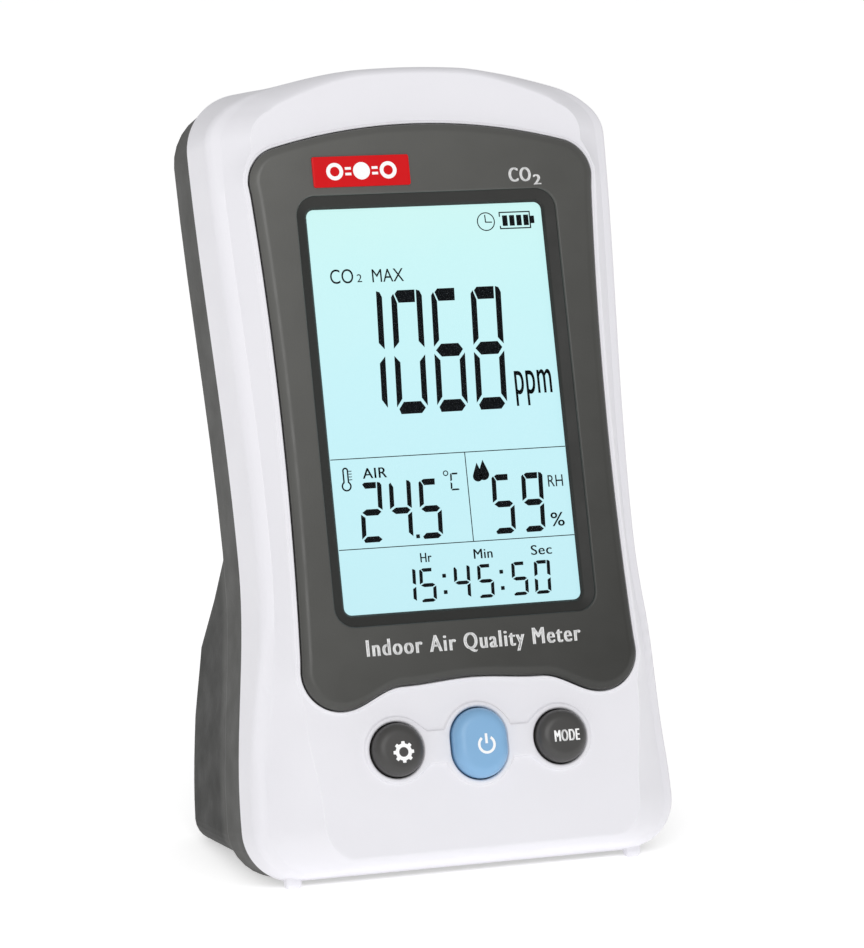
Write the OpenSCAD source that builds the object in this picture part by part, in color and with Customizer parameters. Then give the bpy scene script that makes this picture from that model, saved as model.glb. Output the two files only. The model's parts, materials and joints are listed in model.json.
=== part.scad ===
/* [Body] */
// Angle that the face leans back from upright, in degrees
lean = 17.4; // [15:0.1:20]
// Widest width of the body, near the foot of its face
body_w = 87; // [86.6:0.1:88]
// Narrowest width of the body, at its waist
waist_w = 78.4; // [78:0.1:80]
// Height of the face above the display's centre
face_top = 68.4; // [68:0.1:70]
// Depth of the face below the display's centre
face_bottom = 87.8; // [87.4:0.1:88]
// Depth of the front shell, from the face to the seam
shell_depth = 17; // [16.8:0.1:17.4]
// Wall thickness of the two case halves
wall = 2.2; // [2:0.1:2.4]

/* [Back] */
// Depth of the rear case's flat back, from the face
rim_depth = 29.5; // [29:0.1:29.8]
// Depth of the bulge's rearmost edge, from the face
bulge_depth = 56; // [55.6:0.1:56.4]

/* [Display] */
// Width of the display window
lcd_w = 48; // [46:0.1:49]
// Height of the display window
lcd_h = 78.2; // [76:0.1:79]
// Width of the dark panel at its waist
panel_w = 65.4; // [65:0.1:67]
// How far the dark panel stands proud of the face
panel_proud = 1.6; // [1.2:0.1:2]

/* [Buttons] */
// Diameter of the two round buttons
button_d = 10.2; // [9.5:0.1:10.5]
// Width of the oval power button
power_w = 10.9; // [10.6:0.1:11.4]
// Straight length in the oval power button's sides
power_straight = 2.5; // [2.2:0.1:2.8]
// Distance between neighbouring buttons
button_pitch = 16.5; // [16:0.1:17]
// How far the buttons stand proud of the face
button_proud = 3; // [2.5:0.1:3.5]

/* [Battery] */
// Diameter of the battery cell
cell_d = 18.4; // [18:0.1:18.6]
// Length of the battery cell
cell_l = 65.2; // [65:0.1:65.6]

/* [Hidden] */
$fn = 64;
eps = 0.05;

// Frame of the face: x to the right, y into the body from the face, z up the face,
// with its zero at the display's centre. leaned() stands this frame on the floor.
floor_drop = 89.8;
function floor_z(y) = (y * sin(lean) - floor_drop) / cos(lean);

// Body outline, mirrored about x = 0
waist_z = -26;
flare_up = 88;
flare_down = 52;
top_flare = 2.7;
shoulder_z = 53;
top_r = 190;
shoulder_r = 12;
heel_r = 10;

// Front shell: the level middle of its face ends at a crease on each side, beyond which a
// facet falls back to the rounded edge of the side wall; the facets fall deeper at the foot
crease_x = 33.3;
facet_d = 4.2;
foot_dip = 5;
foot_from = -40;
foot_span = 28;
edge_w = 2.3;
edge_d = 2.6;
draft = 0.6;
top_edge_d = 5.5;
top_draft = 0.9;
shoulder_drop = 3.2;

// Dark panel outline
panel_top = 55.1;
panel_top_r = 112;
panel_side_r = 770;
panel_waist_z = -12;
panel_shoulder_r = 7;
lobe_r = 7.5;
lobe_x = 26.2;
lobe_z = -49.5;
arch_x = 14;
arch_z = -53.1;
arch_rise = 0.8;
panel_back = 1.2;
panel_gap = 0.25;

// Display stack
recess_w = 2.5;
recess_r = 4;
glass_w = 55.2;
glass_h = 85.2;
glass_y0 = 1.3;
glass_y1 = 3.4;
strip_z = 41.2;
tray_w = 59;
tray_h = 89;

// Buttons
button_z = -65.2;
button_gap = 0.2;
button_lip = 1.4;
flange_y = 2.4;
flange_t = 1.2;
switch_w = 6;
plunger_d = 3.4;
island_t = 0.6;
island_neck = 3;
island_margin = 1.25;

// Circuit board
board_y = 15.9;
board_t = 1.6;
board_w = 58;
board_low = -76;
board_high = 51.5;
board_back = board_y + board_t;
stem_end = board_y - 4.5;
post_x = 24.5;
post_z = [48, -72.5];
post_d = 5;

// Case screws
screw_x = 33.2;
screw_z = [49, -45];
seat_y = 21.5;
boss_d = 6.4;
screw_d = 2.4;
head_d = 5;
bore_d = 6;

// Rear bulge: its ramp, its curved back and its rounded lower edge
ramp_top = -20.5;
ramp_end = -36;
ramp_end_y = bulge_depth - 7;
bulge_heel_r = 4.7;
heel_y = bulge_depth - bulge_heel_r;
heel_z = -73.2;
back_end = heel_z + 1.7;
back_power = 1.5;
bulge_foot = -82;
bulge_inset = 0.65;
bulge_edge_r = 4;
bulge_corner_r = 4.5;

// Battery bay, its cell and its door
cell_y = bulge_depth - 14.9;
cell_z = heel_z + 11.3;
bay_w = 70.4;
bay_y = cell_y - 10.9;
door_w = 69.5;
door_low = heel_z + 2.1;
door_high = heel_z + 21.1;
door_gap = 0.3;
door_foot_gap = 0.8;
hinge_y = bulge_depth - 1;
hinge_z = heel_z + 0.3;
knuckle_d = 1.9;
pivot_d = 1.2;
pivot_gap = 0.05;
knuckle_x = [20, 30];

// USB socket in the right-hand wall
usb_y = board_back + 2.4;
usb_z = 5;
usb_w = 8.9;
usb_t = 3.2;
usb_mouth = 39.2;

// Air sensors and sounder
sensor_z = -37.5;
humid_x = -22;
humid_z = 32;
sounder_x = 18;
sounder_z = 32;

// Smooth step from 0 to 1 with level ends
function ease(t) = (1 - cos(180 * max(0, min(1, t)))) / 2;

// Half-width of the body at height z
function side_x(z) = waist_w / 2 + (z > waist_z
    ? top_flare * ease((z - waist_z) / flare_up)
    : (body_w - waist_w) / 2 * ease((waist_z - z) / flare_down));

// Closed outline from the points of its right-hand half, listed from the top down
function mirrored(half) =
    concat(half, [for (i = [len(half) - 1 : -1 : 0]) [-half[i][0], half[i][1]]]);

function arc(x, z, r, a0, a1, n) =
    [for (i = [0 : n]) let (a = a0 + (a1 - a0) * i / n) [x + r * cos(a), z + r * sin(a)]];

// Body outline, moved in by inset, with its lower edge raised by lift
function body_outline(inset, lift = 0) =
    let (cx = side_x(shoulder_z) - shoulder_r,
         arc_z = face_top - top_r,
         cz = arc_z + sqrt(pow(top_r - shoulder_r, 2) - cx * cx),
         a = atan2(cz - arc_z, cx),
         bz = heel_r - face_bottom)
    mirrored(concat(
        arc(0, arc_z, top_r - inset, 90 - (90 - a) / 20, a + (90 - a) / 10, 8),
        arc(cx, cz, shoulder_r - inset, a, 0, 7),
        [for (i = [1 : 11]) let (z = cz + (bz - cz) * i / 12) [side_x(z) - inset, z]],
        arc(body_w / 2 - heel_r, bz + lift, heel_r - inset, 0, -90, 8)));

// Quarter round: how far an edge w wide stands in at t of its depth
function round_edge(w, t) = w * (1 - sqrt(max(0, 1 - pow(1 - t, 2))));

// Half-width of the front shell at depth y and height z
function shell_side(y, z) =
    let (facet = facet_d + foot_dip * ease((foot_from - z) / foot_span),
         edge = facet + edge_d,
         w = side_x(z) - draft)
    y < facet ? crease_x + (w - edge_w - crease_x) * y / facet
    : y < edge ? w - round_edge(edge_w, (y - facet) / edge_d)
    : w + draft * (y - edge) / (shell_depth - edge);

// How far the shell's top and bottom edges stand in at depth y
function top_inset(y) = y < top_edge_d
    ? top_draft + round_edge(edge_w, y / top_edge_d)
    : top_draft * (shell_depth - y) / (shell_depth - top_edge_d);

// How far the shell's shoulders have fallen away at depth y, above the point (x, z)
function shoulder_fall(x, y, z) =
    shoulder_drop * (1 - y / shell_depth)
        * pow(max(0, min(1, (abs(x) - 12) / 22)), 1.5) * max(0, min(1, (z - 52) / 10));

// Outline of the front shell at depth y, moved in by t
function shell_outline(y, t = 0) =
    let (inset = top_inset(y) + t)
    [for (p = body_outline(inset))
        [p[0] * (shell_side(y, p[1]) - t) / (side_x(p[1]) - inset),
         p[1] - shoulder_fall(p[0], y, p[1])]];

function panel_x(z) = panel_w / 2 + pow(z - panel_waist_z, 2) / (2 * panel_side_r);

// Dark panel outline, moved in by inset: domed top, waisted sides and a wavy lower edge
function panel_outline(inset) =
    let (cx = panel_x(46) - panel_shoulder_r,
         arc_z = panel_top - panel_top_r,
         cz = arc_z + sqrt(pow(panel_top_r - panel_shoulder_r, 2) - cx * cx),
         a = atan2(cz - arc_z, cx),
         lobe_bottom = lobe_z - lobe_r)
    mirrored(concat(
        arc(0, arc_z, panel_top_r - inset, 90 - (90 - a) / 20, a + (90 - a) / 10, 8),
        arc(cx, cz, panel_shoulder_r - inset, a, 0, 6),
        [for (i = [1 : 8]) let (z = cz + (lobe_z - cz) * i / 9) [panel_x(z) - inset, z]],
        arc(lobe_x, lobe_z, lobe_r - inset, 0, -90, 7),
        [for (i = [1 : 7]) let (t = i / 7)
            [lobe_x + (arch_x - lobe_x) * t,
             lobe_bottom + inset + (arch_z - lobe_bottom) * ease(t)]],
        [for (i = [1 : 4]) let (t = (i - 0.2) / 4)
            [arch_x * (1 - t), arch_z + inset + arch_rise * ease(t)]]));

// Upright rounded rectangle between two heights
function round_rect(w, z0, z1, r) = mirrored(concat(
    arc(w / 2 - r, z1 - r, r, 90, 0, 6),
    arc(w / 2 - r, z0 + r, r, 0, -90, 6)));

// Upright oval: two half circles joined by straight sides
function oval(w, straight, z) = mirrored(concat(
    arc(0, z + straight / 2, w / 2, 87, 0, 11),
    arc(0, z - straight / 2, w / 2, 0, -87, 11)));

// Upper edge of the raised island round the buttons, above its middle line
function lobe_edge(x, r, straight) = abs(x) < r ? straight + sqrt(r * r - x * x) : 0;
function island_h(x) =
    let (r = button_d / 2 + island_margin,
         p = lobe_edge(x, power_w / 2 + island_margin, power_straight / 2),
         b = lobe_edge(abs(x) - button_pitch, r, 0),
         s = 0.9)
    abs(x) > button_pitch ? b : ln(exp(s * p) + exp(s * b) + exp(s * island_neck)) / s;
function island_outline() =
    let (end = button_pitch + button_d / 2 + island_margin, n = 60,
         xs = [for (i = [1 : n - 1]) -end * cos(180 * i / n)])
    concat([[-end, button_z]], [for (x = xs) [x, button_z + island_h(x)]],
        [[end, button_z]], [for (i = [n - 2 : -1 : 0]) [xs[i], button_z - island_h(xs[i])]]);

// Rear bulge at depth y, with its skin moved in by t
function bulge_high(y, t) = let (d = min(y + t, bulge_depth)) (d < ramp_end_y
    ? ramp_top + (ramp_end - ramp_top) * (d - rim_depth) / (ramp_end_y - rim_depth)
    : back_end + (ramp_end - back_end)
        * pow((bulge_depth - d) / (bulge_depth - ramp_end_y), 1 / back_power)) - t / 3;
function bulge_low(y, t) = y < heel_y
    ? bulge_foot + (heel_z - bulge_heel_r - bulge_foot) * (y - rim_depth) / (heel_y - rim_depth) + t
    : heel_z - sqrt(max(0, pow(bulge_heel_r - t, 2) - pow(y - heel_y, 2)));
function bulge_side(y, z, t) =
    let (edge_y = bulge_depth - bulge_edge_r, r = bulge_edge_r - t)
    side_x(z) - bulge_inset - t
        - (y > edge_y ? r - sqrt(max(0, r * r - pow(y - edge_y, 2))) : 0);
function bulge_ring(y, t) =
    let (z1 = bulge_high(y, t), z0 = bulge_low(y, t),
         r = min(bulge_corner_r - t, (z1 - z0) / 2 - 0.1),
         a = z1 - r, b = z0 + r)
    mirrored(concat(
        arc(bulge_side(y, a, t) - r, a, r, 90, 0, 6),
        [for (i = [1 : 4]) let (z = a + (b - a) * i / 5) [bulge_side(y, z, t), z]],
        arc(bulge_side(y, b, t) - r, b, r, 0, -90, 6)));

// Depths of the front shell's rings, and rings of the rear case's rim: depth, inset, lift
shell_depths = [0, 0.2, 0.6, 1.2, 2.1, 3.2, facet_d, 4.8, top_edge_d, 6.1, facet_d + edge_d,
    7.8, 8.8, 9.8, 10.8, facet_d + foot_dip + edge_d, shell_depth];
rim_rings = [
    [shell_depth + 0.3, 0.25, 0],
    [rim_depth - 2, 0.3, 1],
    [rim_depth - 1, 0.45, 1.1],
    [rim_depth - 0.3, 1.15, 1.2],
    [rim_depth, 2.25, 1.2]];

// Moves the leaning body so that its box is centred on y = 0
depth_shift = -(
    max([for (r = rim_rings) r[0] * cos(lean) + (face_top - r[1]) * sin(lean)])
    + min([for (y = shell_depths) y * cos(lean) - (face_bottom - top_inset(y)) * sin(lean)])) / 2;

module leaned() {
    translate([0, depth_shift, floor_drop]) rotate([-lean, 0, 0]) children();
}

module above_floor() {
    difference() {
        children();
        translate([-100, -100, -20]) cube([200, 200, 20]);
    }
}

// Skin through rings of equal length, each given as [depth, outline]
module loft(rings) {
    n = len(rings[0][1]);
    m = len(rings);
    polyhedron(
        points = [for (r = rings) for (p = r[1]) [p[0], r[0], p[1]]],
        faces = concat(
            [[for (i = [0 : n - 1]) i]],
            [for (j = [0 : m - 2]) for (i = [0 : n - 1]) for (k = [0, 1])
                let (a = j * n + i, b = j * n + (i + 1) % n)
                k == 0 ? [a, a + n, b + n] : [a, b + n, b]],
            [[for (i = [n - 1 : -1 : 0]) (m - 1) * n + i]]));
}

// Plate of a given outline between two depths
module slab(outline, y0, y1) {
    translate([0, y1, 0]) rotate([90, 0, 0]) linear_extrude(y1 - y0) polygon(outline);
}

module block(x0, x1, y0, y1, z0, z1) {
    translate([x0, y0, z0]) cube([x1 - x0, y1 - y0, z1 - z0]);
}

module centred_block(w, y0, y1, h) {
    block(-w / 2, w / 2, y0, y1, -h / 2, h / 2);
}

// Round bar into the face, d0 wide at its near end and d1 at its far end
module rod(x, z, d0, y0, y1, d1) {
    translate([x, y1, z]) rotate([90, 0, 0])
        cylinder(d1 = is_undef(d1) ? d0 : d1, d2 = d0, h = y1 - y0);
}

// Round bar across the body
module cross_rod(x0, x1, y, z, d) {
    translate([x0, y, z]) rotate([0, 90, 0]) cylinder(d = d, h = x1 - x0);
}

// Upright oval bar with true round ends
module oval_rod(w, straight, y0, y1) {
    for (s = [-1, 1]) rod(0, button_z + s * straight / 2, w, y0, y1);
    block(-w / 2, w / 2, y0, y1, button_z - straight / 2, button_z + straight / 2);
}

module both_sides() {
    for (s = [0, 1]) mirror([s, 0, 0]) children();
}

module at_case_screws() {
    both_sides() for (z = screw_z) translate([screw_x, 0, z]) children();
}

module at_board_posts() {
    both_sides() for (z = post_z) translate([post_x, 0, z]) children();
}

module shell_fin() {
    fin_w = 3;
    fin_y = [13.2, 13.8, 14.8, shell_depth];
    root_z = 2 - face_bottom;
    translate([34.8 + fin_w / 2, 0, 0]) rotate([90, 0, -90]) linear_extrude(fin_w)
        polygon([
            [-fin_y[0], root_z], [-fin_y[1], floor_z(fin_y[1]) + 0.9],
            [-fin_y[2], floor_z(fin_y[2]) - 1], [-fin_y[3], floor_z(fin_y[3]) - 1],
            [-fin_y[3], root_z]]);
}

module front_shell() {
    ledge_t = 2.8;
    lip = 0.5;
    skin = 2;
    color("gainsboro") above_floor() leaned() difference() {
        union() {
            difference() {
                loft([for (y = shell_depths) [y, shell_outline(y)]]);
                difference() {
                    loft([for (y = [0, 2, facet_d, top_edge_d, 7, 9, 11.8, shell_depth - skin + eps])
                        [y + skin, shell_outline(y, wall)]]);
                    slab(panel_outline(-2), 1, ledge_t);
                    at_case_screws() rod(0, 0, boss_d, 1, shell_depth + 1);
                }
            }
            slab(panel_outline(-panel_gap - lip), -0.3, 1);
            slab(island_outline(), -island_t, 1);
            at_case_screws() rod(0, 0, boss_d, shell_depth - 2, shell_depth + 0.4);
            at_board_posts() rod(0, 0, post_d, 1, board_y);
            both_sides() shell_fin();
        }
        slab(panel_outline(-panel_gap), -1, panel_back);
        centred_block(glass_w + 1, 0, ledge_t + eps, glass_h + 1);
        at_case_screws() rod(0, 0, screw_d + 0.1, 3.4, shell_depth + 1);
        at_board_posts() rod(0, 0, 1.7, 4, board_y + eps);
        both_sides() {
            rod(button_pitch, button_z, button_d + 2 * button_gap, -1, 3);
            rod(button_pitch, button_z, button_d + button_lip, -island_t - eps, 0, button_d);
        }
        oval_rod(power_w + 2 * button_gap, power_straight, -1, 3);
        loft([[-island_t - eps, oval(power_w + button_lip, power_straight, button_z)],
            [0, oval(power_w, power_straight, button_z)]]);
    }
}

module display_bezel() {
    bevel = 1.4;
    color("dimgray") leaned() difference() {
        loft(concat(
            [for (a = [90 : -22.5 : 0])
                [-panel_proud + bevel * (1 - sin(a)), panel_outline(bevel * (1 - cos(a)))]],
            [[panel_back, panel_outline(0)]]));
        loft([
            [-panel_proud - eps, round_rect(lcd_w + 2 * recess_w, -lcd_h / 2 - recess_w,
                lcd_h / 2 + recess_w, recess_r)],
            [0, round_rect(lcd_w, -lcd_h / 2, lcd_h / 2, 1.5)],
            [panel_back + eps, round_rect(lcd_w, -lcd_h / 2, lcd_h / 2, 1.5)]]);
        centred_block(51.2, 0.4, panel_back + eps, 81.4);
    }
}

module display_lens() {
    color("lightcyan", 0.4) leaned() centred_block(51, 0.4, panel_back, 81.2);
}

module lcd_glass() {
    color("paleturquoise") leaned() centred_block(glass_w, glass_y0, glass_y1, glass_h);
}

module lcd_connectors() {
    color("dimgray") leaned()
        for (s = [-1, 1]) translate([0, 0, s * strip_z]) centred_block(50, glass_y1, board_y, 1.8);
}

module lcd_backlight() {
    color("white") leaned() centred_block(54.8, glass_y1 + 0.1, 6.6, 79.4);
}

module lcd_tray() {
    floor_y = 6.7;
    color("whitesmoke") leaned() difference() {
        union() {
            centred_block(tray_w, 2.9, 8, tray_h);
            both_sides() for (s = [-1, 1]) rod(24, s * 34, 4, 7, board_y);
        }
        centred_block(glass_w + 0.6, 2.8, floor_y, glass_h + 0.6);
        for (s = [-1, 1]) translate([0, 0, s * strip_z]) centred_block(50.6, 2.8, 9, 2.4);
    }
}

module badge() {
    color("crimson") leaned()
        slab([for (p = round_rect(19.6, 43, 49, 1.2)) p - [12.75, 0]],
            -panel_proud - 0.3, -panel_proud);
}

module round_button(side) {
    edge = 2.2;
    r = button_d / 2;
    color([0.33, 0.33, 0.33]) leaned() translate([side * button_pitch, 0, button_z]) {
        translate([0, flange_y, 0]) rotate([90, 0, 0]) rotate_extrude()
            polygon(concat([[0, 0], [r, 0]],
                arc(r - edge, button_proud + flange_y - edge, edge, 0, 80, 8),
                [[0, button_proud + flange_y + 0.1]]));
        rod(0, 0, button_d + 2.8, flange_y, flange_y + flange_t);
        rod(0, 0, 4, flange_y, stem_end);
    }
}

module settings_button() { round_button(-1); }

module mode_button() { round_button(1); }

module power_button() {
    edge = 2.2;
    skin = 0.08;
    color([0.49, 0.69, 0.86]) leaned() {
        loft(concat(
            [for (a = [85 : -17 : 0])
                [-button_proud + edge * (1 - sin(a)),
                 oval(power_w - skin - 2 * edge * (1 - cos(a)), power_straight, button_z)]],
            [[0, oval(power_w - skin, power_straight, button_z)]]));
        oval_rod(power_w, power_straight, -button_proud + edge, flange_y + eps);
        oval_rod(power_w + 2.6, power_straight, flange_y, flange_y + flange_t);
        rod(0, button_z, 4, flange_y, stem_end);
    }
}

module plunger(side) {
    color("black") leaned() rod(side * button_pitch, button_z, plunger_d, stem_end, board_y - 2.4);
}

module settings_plunger() { plunger(-1); }

module power_plunger() { plunger(0); }

module mode_plunger() { plunger(1); }

module key_switches() {
    h = switch_w / 2;
    color("silver") leaned() for (side = [-1, 0, 1])
        translate([side * button_pitch, 0, button_z]) difference() {
            block(-h, h, board_y - 3.4, board_y, -h, h);
            rod(0, 0, plunger_d + 2 * pivot_gap, board_y - 3.5, board_y - 1);
        }
}

module main_board() {
    color("seagreen") leaned() difference() {
        union() {
            block(-board_w / 2, board_w / 2, board_y, board_back, board_low, board_high);
            block(0, 35.6, board_y, board_back, usb_z - 7, usb_z + 7);
        }
        at_board_posts() rod(0, 0, 2.2, board_y - 1, board_back + 1);
    }
}

module board_screws() {
    color("silver") leaned() at_board_posts() difference() {
        union() {
            rod(0, 0, 1.6, 5, board_back + 0.5);
            rod(0, 0, 3.8, board_back, board_back + 1.4);
        }
        cross_slot(board_back + 0.8, 2.4, 0.5);
    }
}

module cross_slot(y, length, width) {
    for (a = [0, 90]) rotate([0, a, 0])
        block(-length / 2, length / 2, y, y + 4, -width / 2, width / 2);
}

module controller_chip() {
    color([0.15, 0.15, 0.15]) leaned() block(-6, 6, board_back, board_back + 1.4, 10, 22);
}

module co2_sensor() {
    color("goldenrod") leaned() difference() {
        union() {
            block(-17, 17, board_back + 0.2, board_back + 1.6, sensor_z - 9.5, sensor_z + 9.5);
            block(-16, 16, board_back + 1.5, board_back + 8.6, sensor_z - 8.5, sensor_z + 8.5);
        }
        block(-10, 10, board_back + 8, board_back + 9, sensor_z - 5, sensor_z + 5);
    }
}

module sensor_filter() {
    color("white") leaned()
        block(-9.8, 9.8, board_back + 8, board_back + 8.6, sensor_z - 4.8, sensor_z + 4.8);
}

module humidity_sensor() {
    color("black") leaned() difference() {
        block(humid_x - 1.5, humid_x + 1.5, board_back, board_back + 1.1,
            humid_z - 1.5, humid_z + 1.5);
        rod(humid_x, humid_z, 1, board_back + 0.7, board_back + 2);
    }
}

module sounder() {
    color([0.12, 0.12, 0.12]) leaned() difference() {
        rod(sounder_x, sounder_z, 9.6, board_back, board_back + 5);
        rod(sounder_x, sounder_z, 1.8, board_back + 3.4, board_back + 6);
    }
}

// Bar with round ends that runs across the body
module slot_bar(x0, x1, y, z, w, t) {
    for (s = [-1, 1]) cross_rod(x0, x1, y, z + s * (w - t) / 2, t);
    block(x0, x1, y - t / 2, y + t / 2, z - (w - t) / 2, z + (w - t) / 2);
}

module usb_port() {
    color("silver") leaned() {
        difference() {
            slot_bar(33, usb_mouth, usb_y, usb_z, usb_w, usb_t);
            slot_bar(34, usb_mouth + 1, usb_y, usb_z, usb_w - 0.6, usb_t - 0.6);
        }
        block(33.5, usb_mouth - 0.7, usb_y - 0.35, usb_y + 0.35, usb_z - 3.3, usb_z + 3.3);
        both_sides_of_usb() block(34, 35, board_back, usb_y, usb_z + 3.4, usb_z + 3.9);
    }
}

module both_sides_of_usb() {
    for (s = [0, 1]) translate([0, 0, usb_z]) mirror([0, 0, s]) translate([0, 0, -usb_z])
        children();
}

module bulge(t, y0) {
    ends = bulge_depth - t;
    depths = concat([y0, (y0 + ramp_end_y - t) / 2],
        [for (i = [0 : 4]) ramp_end_y - t + (heel_y + t - ramp_end_y) * i / 4],
        [for (a = [15 : 15 : 90]) heel_y + (ends - heel_y) * sin(a)]);
    loft([for (y = depths) [y, bulge_ring(y, t)]]);
}

// Depth of the bulge's curved back at height z
function back_y(z) = bulge_depth - (bulge_depth - ramp_end_y)
    * pow((z - back_end) / (ramp_end - back_end), back_power);

// Block that bounds the door; its top edge follows the arc that the door swings through
door_reach = norm([back_y(door_high) - hinge_y, door_high - hinge_z]);
module door_block(gap, low) {
    half = door_w / 2 + gap;
    intersection() {
        block(-half, half, bulge_depth - 13, bulge_depth + 3, low, door_high + 5);
        cross_rod(-half - 1, half + 1, hinge_y, hinge_z, 2 * (door_reach + gap));
    }
}

module door_opening() {
    door_block(door_gap, door_low - door_foot_gap);
    both_sides() block(knuckle_x[0] - door_gap, knuckle_x[1] + door_gap,
        bulge_depth - 3.3, bulge_depth + 3, hinge_z - knuckle_d / 2 - door_gap, door_low + 1);
}

// Ribs that wall the battery bay off inside the bulge
module bay_walls() {
    t = 1.3;
    side = body_w / 2;
    intersection() {
        union() {
            block(-side, side, bay_y, bay_y + t, -80, -51);
            block(-side, side, bay_y, bulge_depth - 3.3, door_high + 0.6, door_high + 0.6 + t);
            block(-side, side, bay_y, bulge_depth - 6.3,
                cell_z - cell_d / 2 - 0.5 - t, cell_z - cell_d / 2 - 0.5);
            both_sides() block(bay_w / 2, side, bay_y, bulge_depth - 7.3, -78, door_high + 1);
        }
        bulge(wall / 2, rim_depth - 2);
    }
}

module rear_vents() {
    slot_h = 1.8;
    both_sides() for (i = [0 : 3])
        block(3, 18, rim_depth - 3, bulge_depth, -26 - 3.4 * i, -26 - 3.4 * i + slot_h);
    for (i = [-1 : 1])
        block(humid_x - 6, humid_x + 6, rim_depth - 3, rim_depth + 1,
            humid_z + 3.4 * i - slot_h / 2, humid_z + 3.4 * i + slot_h / 2);
    for (a = [0 : 60 : 300])
        rod(sounder_x + 2.6 * cos(a), sounder_z + 2.6 * sin(a), 1.2,
            rim_depth - 3, rim_depth + 1);
}

module rear_case() {
    color([0.36, 0.36, 0.36]) above_floor() leaned() difference() {
        union() {
            difference() {
                union() {
                    loft([for (r = rim_rings) [r[0], body_outline(r[1], r[2])]]);
                    bulge(0, rim_depth - 1.4);
                }
                slab(body_outline(wall + 1.2, 1.8), shell_depth, rim_depth - 2);
                bulge(wall, rim_depth - 2.5);
            }
            difference() {
                slab(body_outline(wall + 0.7), shell_depth - 1.8, shell_depth + 2);
                slab(body_outline(wall + 1.8, 1), shell_depth - 2, shell_depth + 3);
            }
            at_case_screws() rod(0, 0, bore_d + 2.4, shell_depth + 0.6, rim_depth - 1);
            both_sides() rod(screw_x, screw_z[1], bore_d + 2.4, seat_y, ramp_end_y);
            bay_walls();
        }
        at_case_screws() {
            rod(0, 0, bore_d, seat_y, 60);
            rod(0, 0, screw_d + 0.5, shell_depth, seat_y + 1);
        }
        door_opening();
        cross_rod(-knuckle_x[1] - 1.4, knuckle_x[1] + 1.4, hinge_y, hinge_z,
            pivot_d + 2 * pivot_gap);
        slot_bar(34, 45, usb_y, usb_z, usb_w + 0.6, usb_t + 0.6);
        rear_vents();
    }
}

module battery_door() {
    color([0.33, 0.33, 0.33]) leaned() {
        difference() {
            intersection() {
                difference() {
                    bulge(0, rim_depth);
                    bulge(wall - 0.2, rim_depth - 1);
                }
                door_block(0, door_low);
            }
            for (i = [0 : 2]) thumb_groove(-57.4 - 2.2 * i);
        }
        both_sides() {
            cross_rod(knuckle_x[0], knuckle_x[1], hinge_y, hinge_z, knuckle_d);
            cross_rod(knuckle_x[1] - 1, knuckle_x[1] + 1.2, hinge_y, hinge_z, pivot_d);
            cross_rod(knuckle_x[0] - 1.2, knuckle_x[0] + 1, hinge_y, hinge_z, pivot_d);
            block(knuckle_x[0], knuckle_x[1], hinge_y - 0.8, hinge_y + 0.6,
                hinge_z, door_low + 0.4);
        }
    }
}

// Finger groove cut into the door's skin at height z
module thumb_groove(z) {
    cross_rod(-8, 8, back_y(z) + 0.1, z, 1.2);
}

module battery_cell() {
    x0 = 34 - cell_l;
    color("royalblue") leaned() {
        cross_rod(x0, 34 - 1.2, cell_y, cell_z, cell_d);
        cross_rod(34 - 1.3, 34, cell_y, cell_z, 6);
    }
}

module contact_plate() {
    color("silver") leaned()
        block(34.05, 34.6, cell_y - 6, cell_y + 5, cell_z - 6, cell_z + 6);
}

// Round wire, of diameter d, swept along a list of points
module wire(path, d) {
    n = len(path);
    sides = 8;
    rings = [for (i = [0 : n - 1])
        let (a = path[max(i - 1, 0)], b = path[min(i + 1, n - 1)],
             t = (b - a) / norm(b - a),
             u0 = cross(t, [1, 0, 0]), u = u0 / norm(u0), v = cross(t, u))
        for (k = [0 : sides - 1]) let (w = 360 * k / sides)
            path[i] + d / 2 * (cos(w) * u + sin(w) * v)];
    polyhedron(rings, concat(
        [[for (k = [sides - 1 : -1 : 0]) k]],
        [for (i = [0 : n - 2]) for (k = [0 : sides - 1]) for (h = [0, 1])
            let (a = i * sides + k, b = i * sides + (k + 1) % sides)
            h == 0 ? [a, b, b + sides] : [a, b + sides, a + sides]],
        [[for (k = [0 : sides - 1]) (n - 1) * sides + k]]));
}

module contact_spring() {
    turns = 3.5;
    steps = 63;
    x0 = -34.7;
    x1 = 33.6 - cell_l;
    color("silver") leaned()
        wire([for (i = [0 : steps]) let (t = i / steps, r = 4.8 - 2.6 * t)
            [x0 + (x1 - x0) * t, cell_y + r * cos(360 * turns * t),
             cell_z + r * sin(360 * turns * t)]], 0.8);
}

module case_screws() {
    color("silver") leaned() at_case_screws() difference() {
        union() {
            rod(0, 0, screw_d, 4, seat_y + 0.5);
            rod(0, 0, head_d, seat_y, seat_y + 2);
        }
        cross_slot(seat_y + 1, 3, 0.7);
    }
}

module rating_label() {
    color("silver") leaned()
        slab(round_rect(36, -8, 12, 1.5), rim_depth, rim_depth + 0.15);
}

front_shell();
display_bezel();
display_lens();
lcd_glass();
lcd_connectors();
lcd_backlight();
lcd_tray();
badge();
settings_button();
power_button();
mode_button();
settings_plunger();
power_plunger();
mode_plunger();
key_switches();
main_board();
board_screws();
controller_chip();
co2_sensor();
sensor_filter();
humidity_sensor();
sounder();
usb_port();
rear_case();
battery_door();
battery_cell();
contact_plate();
contact_spring();
case_screws();
rating_label();
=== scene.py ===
import json
import math

import bmesh
import bpy
from mathutils import Matrix, Vector


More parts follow.
